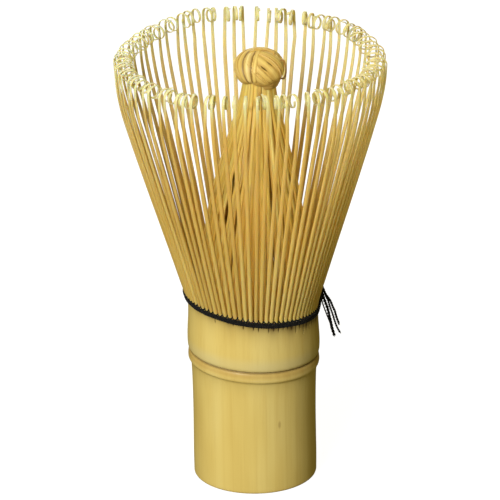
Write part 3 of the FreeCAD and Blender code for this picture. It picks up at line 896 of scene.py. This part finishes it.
def make_knot():
    rng = random.Random(31)
    piece = Piece("tip_knot_wraps")
    rise = np.linspace(-1.45, 1.5, 22)[:, None]
    directions = polar(np.cos(rise), round_angles(40)[None, :], np.sin(rise))
    heart = knot_surface(directions, np.full((22, 40), -0.3))
    # the knot's heart under the strips is painted dark, as shade in the gaps between them
    piece.grid(lean(heart), {"fibre": heart * MM, "tone": 0.1, "dark": 0.6})
    behind, corner, top, left = (0.12, 0.62, 0.78), (-0.62, 0.1, 0.75), (0.02, -0.03, 1.0), (-1.0, 0.1, 0.0)
    lobes = (-40.5, 1.8, 0.36), (-63, 1.5, 0.42), (-79, 1.78, 0.34), (-96, 1.8, 0.4), (-114, 1.9, 0.3)
    for heading, width, lift in lobes:  # smooth lobes on the left
        add_wrap(piece, rng, behind, heading, -12, 168, width, lift)
    for heading in (-133, -152, -171, 170, 151):
        add_wrap(piece, rng, behind, heading, -12, 168, 2.1, rng.uniform(0.2, 0.36))
    add_wrap(piece, rng, behind, -20.5, -12, 170, 1.0, 0.42)
    for heading in (-52, -30):  # painted shade: thin dark strips in the creases between the lobes
        add_wrap(piece, rng, behind, heading, 36, 162, 0.45, 0.52, 0.0, 0.65)
    slanted = (-14, 2.0, 0.1), (4, 1.95, 0.2), (22, 2.3, 0.12), (45, 2.1, 0.24), (65, 1.75, 0.12)
    slanted += (81, 1.65, 0.24), (97, 1.6, 0.14), (112, 1.6, 0.26), (128, 1.8, 0.16), (146, 2.0, 0.24)
    for heading, width, lift in slanted:  # strips over the right half, parted by gaps at the front
        add_wrap(piece, rng, corner, heading, 8, 158, width, lift, 0.24 if heading < 90 else 0.0)
    add_wrap(piece, rng, top, 80, 52, 122, 0.26, 1.05, 0.0, 0.5)  # loose loops
    add_wrap(piece, rng, top, -70, -30, 34, 0.3, 0.75)
    add_wrap(piece, rng, top, -100, -38, 20, 0.26, 1.0)
    for number in range(18):  # single fibres, nearly in line with the strips under them
        pole, first, last = ((behind, -112, -36), (corner, -10, 84), (corner, 95, 150))[number % 3]
        heading, start, end = rng.uniform(first, last), rng.uniform(8, 40), rng.uniform(110, 160)
        add_wrap(piece, rng, pole, heading, start, end, rng.uniform(0.1, 0.18), rng.uniform(0.42, 0.62))
    for heading, width, lift in ((122, 1.9, 0.4), (146, 2.1, 0.52), (169, 1.8, 0.44)):  # over the back
        add_wrap(piece, rng, left, heading, 38, 150, width, lift)
    for number, height in enumerate((103.7, 102.8, 102.0)):  # the tuck round the neck, on the right, painted darker as shade under the knot
        share = np.linspace(0, 1, 40)
        start, end = math.radians(-84 + 5 * number), math.radians(75)
        angle = start + (end - start) * share
        radius = 5.15 - 0.35 * number - 0.7 * (1 - ease(0, 0.2, share) * (1 - ease(0.8, 1, share)))
        path = polar(radius, angle, height + 0.5 * share)
        side = np.cross(tangents(path), outward(angle))
        add_strip(piece, lean(path), lean_vectors(side), 1.3, 0.45, 0.3, 210 + number, 0.12, 0.3)
    piece.make([KNOT_BAMBOO], "tip_knot")


make_knot()

# ------------ the thread

PLY, PLY_PITCH = 0.127, 0.85  # radius of one ply, and the length of its twist
KNOB_ANGLE = math.radians(12.0)
KNOB_HEIGHT = 47.3
KNOB_MIDDLE = polar(float(OUTER_RADIUS(KNOB_HEIGHT)) + 0.55, KNOB_ANGLE, KNOB_HEIGHT)


def add_cord(piece, path, ply, pitch, closed=False, seed=0.0):
    """Two plies twisted round each other along a path."""
    run, travel = tangents(path, closed), lengths(path)
    if closed:  # a whole number of twists fits round the ring
        whole = lengths(np.concatenate([path, path[:1]]))[-1]
        pitch = whole / round(whole / pitch)
    first = across(UP if closed else np.array([0.3, 1.0, 0.1]), run)
    second = np.cross(run, first)
    for half in (0, 1):
        phase = (TURN * travel / pitch + math.pi * half + seed)[:, None]
        offset = ply * 0.92 * (first * np.cos(phase) + second * np.sin(phase))
        add_tube(piece, path + offset, ply, 6, seed + half, closed)


def add_hairs(piece, path, rng, count, reach):
    """Loose cotton fibres that stand off a thread."""
    for _ in range(count):
        start = path[rng.randrange(len(path))]
        way = unit(np.array([rng.gauss(0, 1), rng.gauss(0, 1), rng.gauss(0, 0.7)]))
        curl = unit(np.array([rng.gauss(0, 1), rng.gauss(0, 1), rng.gauss(0, 1)]))
        share = np.linspace(0, 1, 5)[:, None]
        size = reach * rng.uniform(0.5, 1.3)
        line = start + way * share * size + curl * share**2 * size * 0.6
        add_tube(piece, line, 0.02 * (1 - 0.6 * share[:, 0]), 3, rng.random())


def turn_height(angle, shift, phase):
    """The height of one turn of thread round the roots of the tines."""
    waver = 0.05 * np.sin(5 * angle + phase) + 0.03 * np.sin(11 * angle + 2 * phase)
    return thread_height(angle) + shift + waver


def make_thread_band():
    rng = random.Random(77)
    piece = Piece("thread_turns")
    angle = round_angles(1800)
    for turn, shift in enumerate((-0.41, 0.0, 0.4)):
        height = turn_height(angle, shift, 1.7 * turn)
        lumps = 0.03 * np.cos(TINES * angle + math.pi) if turn else 0.0
        radius = OUTER_RADIUS(height) + 0.2 + lumps
        path = polar(radius, angle, height)
        add_cord(piece, path, PLY, PLY_PITCH, True, turn)
        add_hairs(piece, path, rng, 150, 0.45)
    gap = (0.5 + 0.5 * np.cos(TINES * angle)) ** 2  # a last turn dips in between the tines
    tufts = 0.55 + 0.25 * np.sin(7 * angle + 1.0) * np.sin(17 * angle)
    height = turn_height(angle, 0.6, 5.0) + tufts * gap
    radius = OUTER_RADIUS(height) + 0.08 - 0.5 * gap
    add_tube(piece, polar(radius, angle, height), 0.2, 6, 9.0, True)
    for side in (0.0, 1.0):  # the thread's end climbs over the tines' roots to its knot
        share, first = np.linspace(0, 1, 60), math.radians(-14 - 5 * side)
        angle = first + (KNOB_ANGLE - first) * share**0.75
        start = float(thread_height(angle[0]))
        height = start + (KNOB_HEIGHT - start) * share**1.5
        radius = OUTER_RADIUS(height) + 0.3 + 0.2 * share + 0.15 * side * np.sin(math.pi * share)
        add_cord(piece, polar(radius, angle, height), 0.14, PLY_PITCH, False, 4.0 + side)
    piece.make([THREAD], "thread_winding")


def make_thread_knob():
    """The small knot that ties off the thread."""
    rng = random.Random(8)
    piece = Piece("thread_tie")
    t = round_angles(160)[:, None]
    out, level = outward(KNOB_ANGLE), sideways(KNOB_ANGLE)
    trefoil = (np.sin(t) + 2 * np.sin(2 * t)) * level + (np.cos(t) - 2 * np.cos(2 * t)) * UP
    path = KNOB_MIDDLE + 0.16 * (trefoil - 1.17 * np.sin(3 * t) * out)
    add_cord(piece, path, 0.115, 0.8, True, 3.0)
    add_hairs(piece, path, rng, 30, 0.5)
    piece.make([THREAD], "thread_knot")


# Loose ends, as (towards +X, away from the front, height) from the knot.
TAIL_ROUTES = (
    [(0.0, 0.1, 0.0), (0.5, 0.2, -0.9), (1.0, 0.3, -2.3), (1.6, 0.35, -3.3), (2.25, 0.5, -4.4)]
    + [(2.75, 0.5, -5.8), (3.3, 0.7, -7.2), (3.65, 0.6, -8.6), (4.3, 0.7, -10.6)],
    [(0.1, 0.0, -0.2), (0.5, 0.0, -1.2), (1.0, 0.1, -2.6), (1.6, 0.0, -3.9), (2.05, 0.1, -5.6)]
    + [(2.7, 0.15, -7.6), (3.2, 0.1, -9.4), (3.7, 0.2, -11.0), (4.5, 0.3, -12.7)],
    [(0.0, -0.1, -0.4), (0.1, -0.2, -1.4), (0.45, -0.25, -2.8), (0.95, -0.3, -4.3), (1.55, -0.25, -6.2)]
    + [(1.95, -0.3, -8.1), (2.3, -0.2, -9.8), (2.65, -0.3, -11.5), (3.1, -0.35, -13.2)],
    [(-0.1, -0.3, -0.4), (0.0, -0.6, -1.6), (0.1, -0.8, -3.2), (0.35, -0.75, -4.6), (0.8, -0.7, -6.0)]
    + [(1.3, -0.6, -7.5), (1.85, -0.6, -9.0), (2.2, -0.5, -10.2), (2.35, -0.5, -11.3)],
)
TAIL_PLIES = (0.17, 0.15, 0.21, 0.11)  # radius of each end's plies


def make_tails():
    for number, (route, ply) in enumerate(zip(TAIL_ROUTES, TAIL_PLIES, strict=True), 1):
        rng = random.Random(60 + number)
        along = np.linspace(0, len(route) - 1, 110)
        columns = [smooth_curve(list(enumerate(column)))(along) for column in zip(*route, strict=True)]
        path = KNOB_MIDDLE + np.stack(columns, axis=-1)
        piece = Piece(f"thread_end_{number}")
        add_cord(piece, path, ply, 8 * ply, False, number)
        run = tangents(path)[-1]
        for _ in range(6):  # the end frays
            way = unit(run + np.array([rng.gauss(0, 0.22), rng.gauss(0, 0.22), rng.gauss(0, 0.1)]))
            share = np.linspace(0, 1, 6)[:, None]
            bend = np.array([rng.gauss(0, 0.4), rng.gauss(0, 0.4), rng.gauss(0, 0.2)])
            fray = path[-3] + way * share * rng.uniform(0.4, 1.1) + bend * share**2 * 0.4
            add_tube(piece, fray, 0.045 * (1 - 0.5 * share[:, 0]), 4, rng.random())
        add_hairs(piece, path, rng, 36, 0.4)
        piece.make([THREAD], f"thread_tail_{number}")


make_thread_band()
make_thread_knob()
make_tails()

# ------------ floor and light


def make_floor():
    """A pale round floor that rises into a backdrop far out. It takes shadows and lights nothing."""
    paint = Paint("floor")
    grain = paint.noise(paint.place(), (30, 30, 30), 4.0)
    tint = paint.ramp(grain, [(0.3, (128, 128, 128)), (0.7, (134, 134, 134))])
    matt, glow = paint.node("BsdfDiffuse", {"Color": tint}), paint.node("Emission", {"Strength": 0.93})
    both = paint.node("AddShader", {0: matt.outputs[0], 1: glow.outputs[0]})
    paint.node("OutputMaterial", {"Surface": both.outputs[0]})
    bend = [(3.0 + math.sin(a), 1.0 - math.cos(a)) for a in np.linspace(0.1, math.pi / 2, 14)]
    outline = [(0.001, 0.0), (1.0, 0.0), (3.0, 0.0), *bend, (4.0, 4.0)]
    radius, height = (column[:, None] for column in np.array(outline).T)
    points = polar(radius, round_angles(96)[None, :], height)
    mesh = bpy.data.meshes.new("floor")
    number = np.arange(len(outline) * 96).reshape(-1, 96)
    faces = ring_quads(number[:-1], number[1:])[:, ::-1].tolist() + [number[0].tolist()]
    mesh.from_pydata(points.reshape(-1, 3).tolist(), [], faces)
    mesh.materials.append(paint.material)
    mesh.shade_smooth()
    floor = link("floor", mesh)
    floor.visible_diffuse = floor.visible_glossy = floor.visible_transmission = floor.visible_shadow = False


def place_lamp(data, azimuth, elevation, distance, aim):
    """Makes a lamp look at the whisk's axis at a height. Azimuth 0 is in front, and positive is right."""
    a, e = math.radians(azimuth), math.radians(elevation)
    way = Vector((math.sin(a) * math.cos(e), -math.cos(a) * math.cos(e), math.sin(e)))
    turn = way.to_track_quat("Z", "Y").to_matrix().to_4x4()
    link(data.name, data).matrix_world = Matrix.Translation(Vector((0, 0, aim)) + way * distance) @ turn


def add_light(name, azimuth, elevation, distance, size, watts, colour=(1.0, 1.0, 1.0)):
    """A round soft light."""
    data = bpy.data.lights.new(name, "AREA")
    data.shape, data.size, data.energy, data.color = "DISK", size, watts, colour
    place_lamp(data, azimuth, elevation, distance, 0.06)


def add_spot(name, azimuth, elevation, distance, aim, spread, size, watts, colour):
    """A soft spot light. spread is its cone's full angle in degrees."""
    data = bpy.data.lights.new(name, "SPOT")
    data.energy, data.color, data.shadow_soft_size = watts, colour, size
    data.spot_size, data.spot_blend = math.radians(spread), 1.0
    place_lamp(data, azimuth, elevation, distance, aim)


def make_world():
    world = bpy.data.worlds.new("world")
    world.use_nodes = True
    background = world.node_tree.nodes["Background"]
    background.inputs["Color"].default_value = (1.0, 0.83, 0.24, 1.0)
    background.inputs["Strength"].default_value = 0.145
    bpy.context.scene.world = world


make_floor()
make_world()
add_light("key", azimuth=-26.5, elevation=27, distance=0.95, size=0.5, watts=9.35)
add_light("rim", azimuth=-120, elevation=55, distance=0.9, size=0.35, watts=0.5)
add_light("top", azimuth=-10, elevation=78, distance=0.9, size=0.5, watts=1.7, colour=(1.0, 0.93, 0.7))
add_light("back", azimuth=180, elevation=30, distance=0.95, size=0.5, watts=2.4, colour=(1.0, 0.96, 0.82))
add_spot("fill", 66, 12, distance=0.9, aim=0.086, spread=5.2, size=0.015, watts=9.0, colour=(1.0, 0.9, 0.62))
bpy.context.scene.view_settings.view_transform = "Standard"
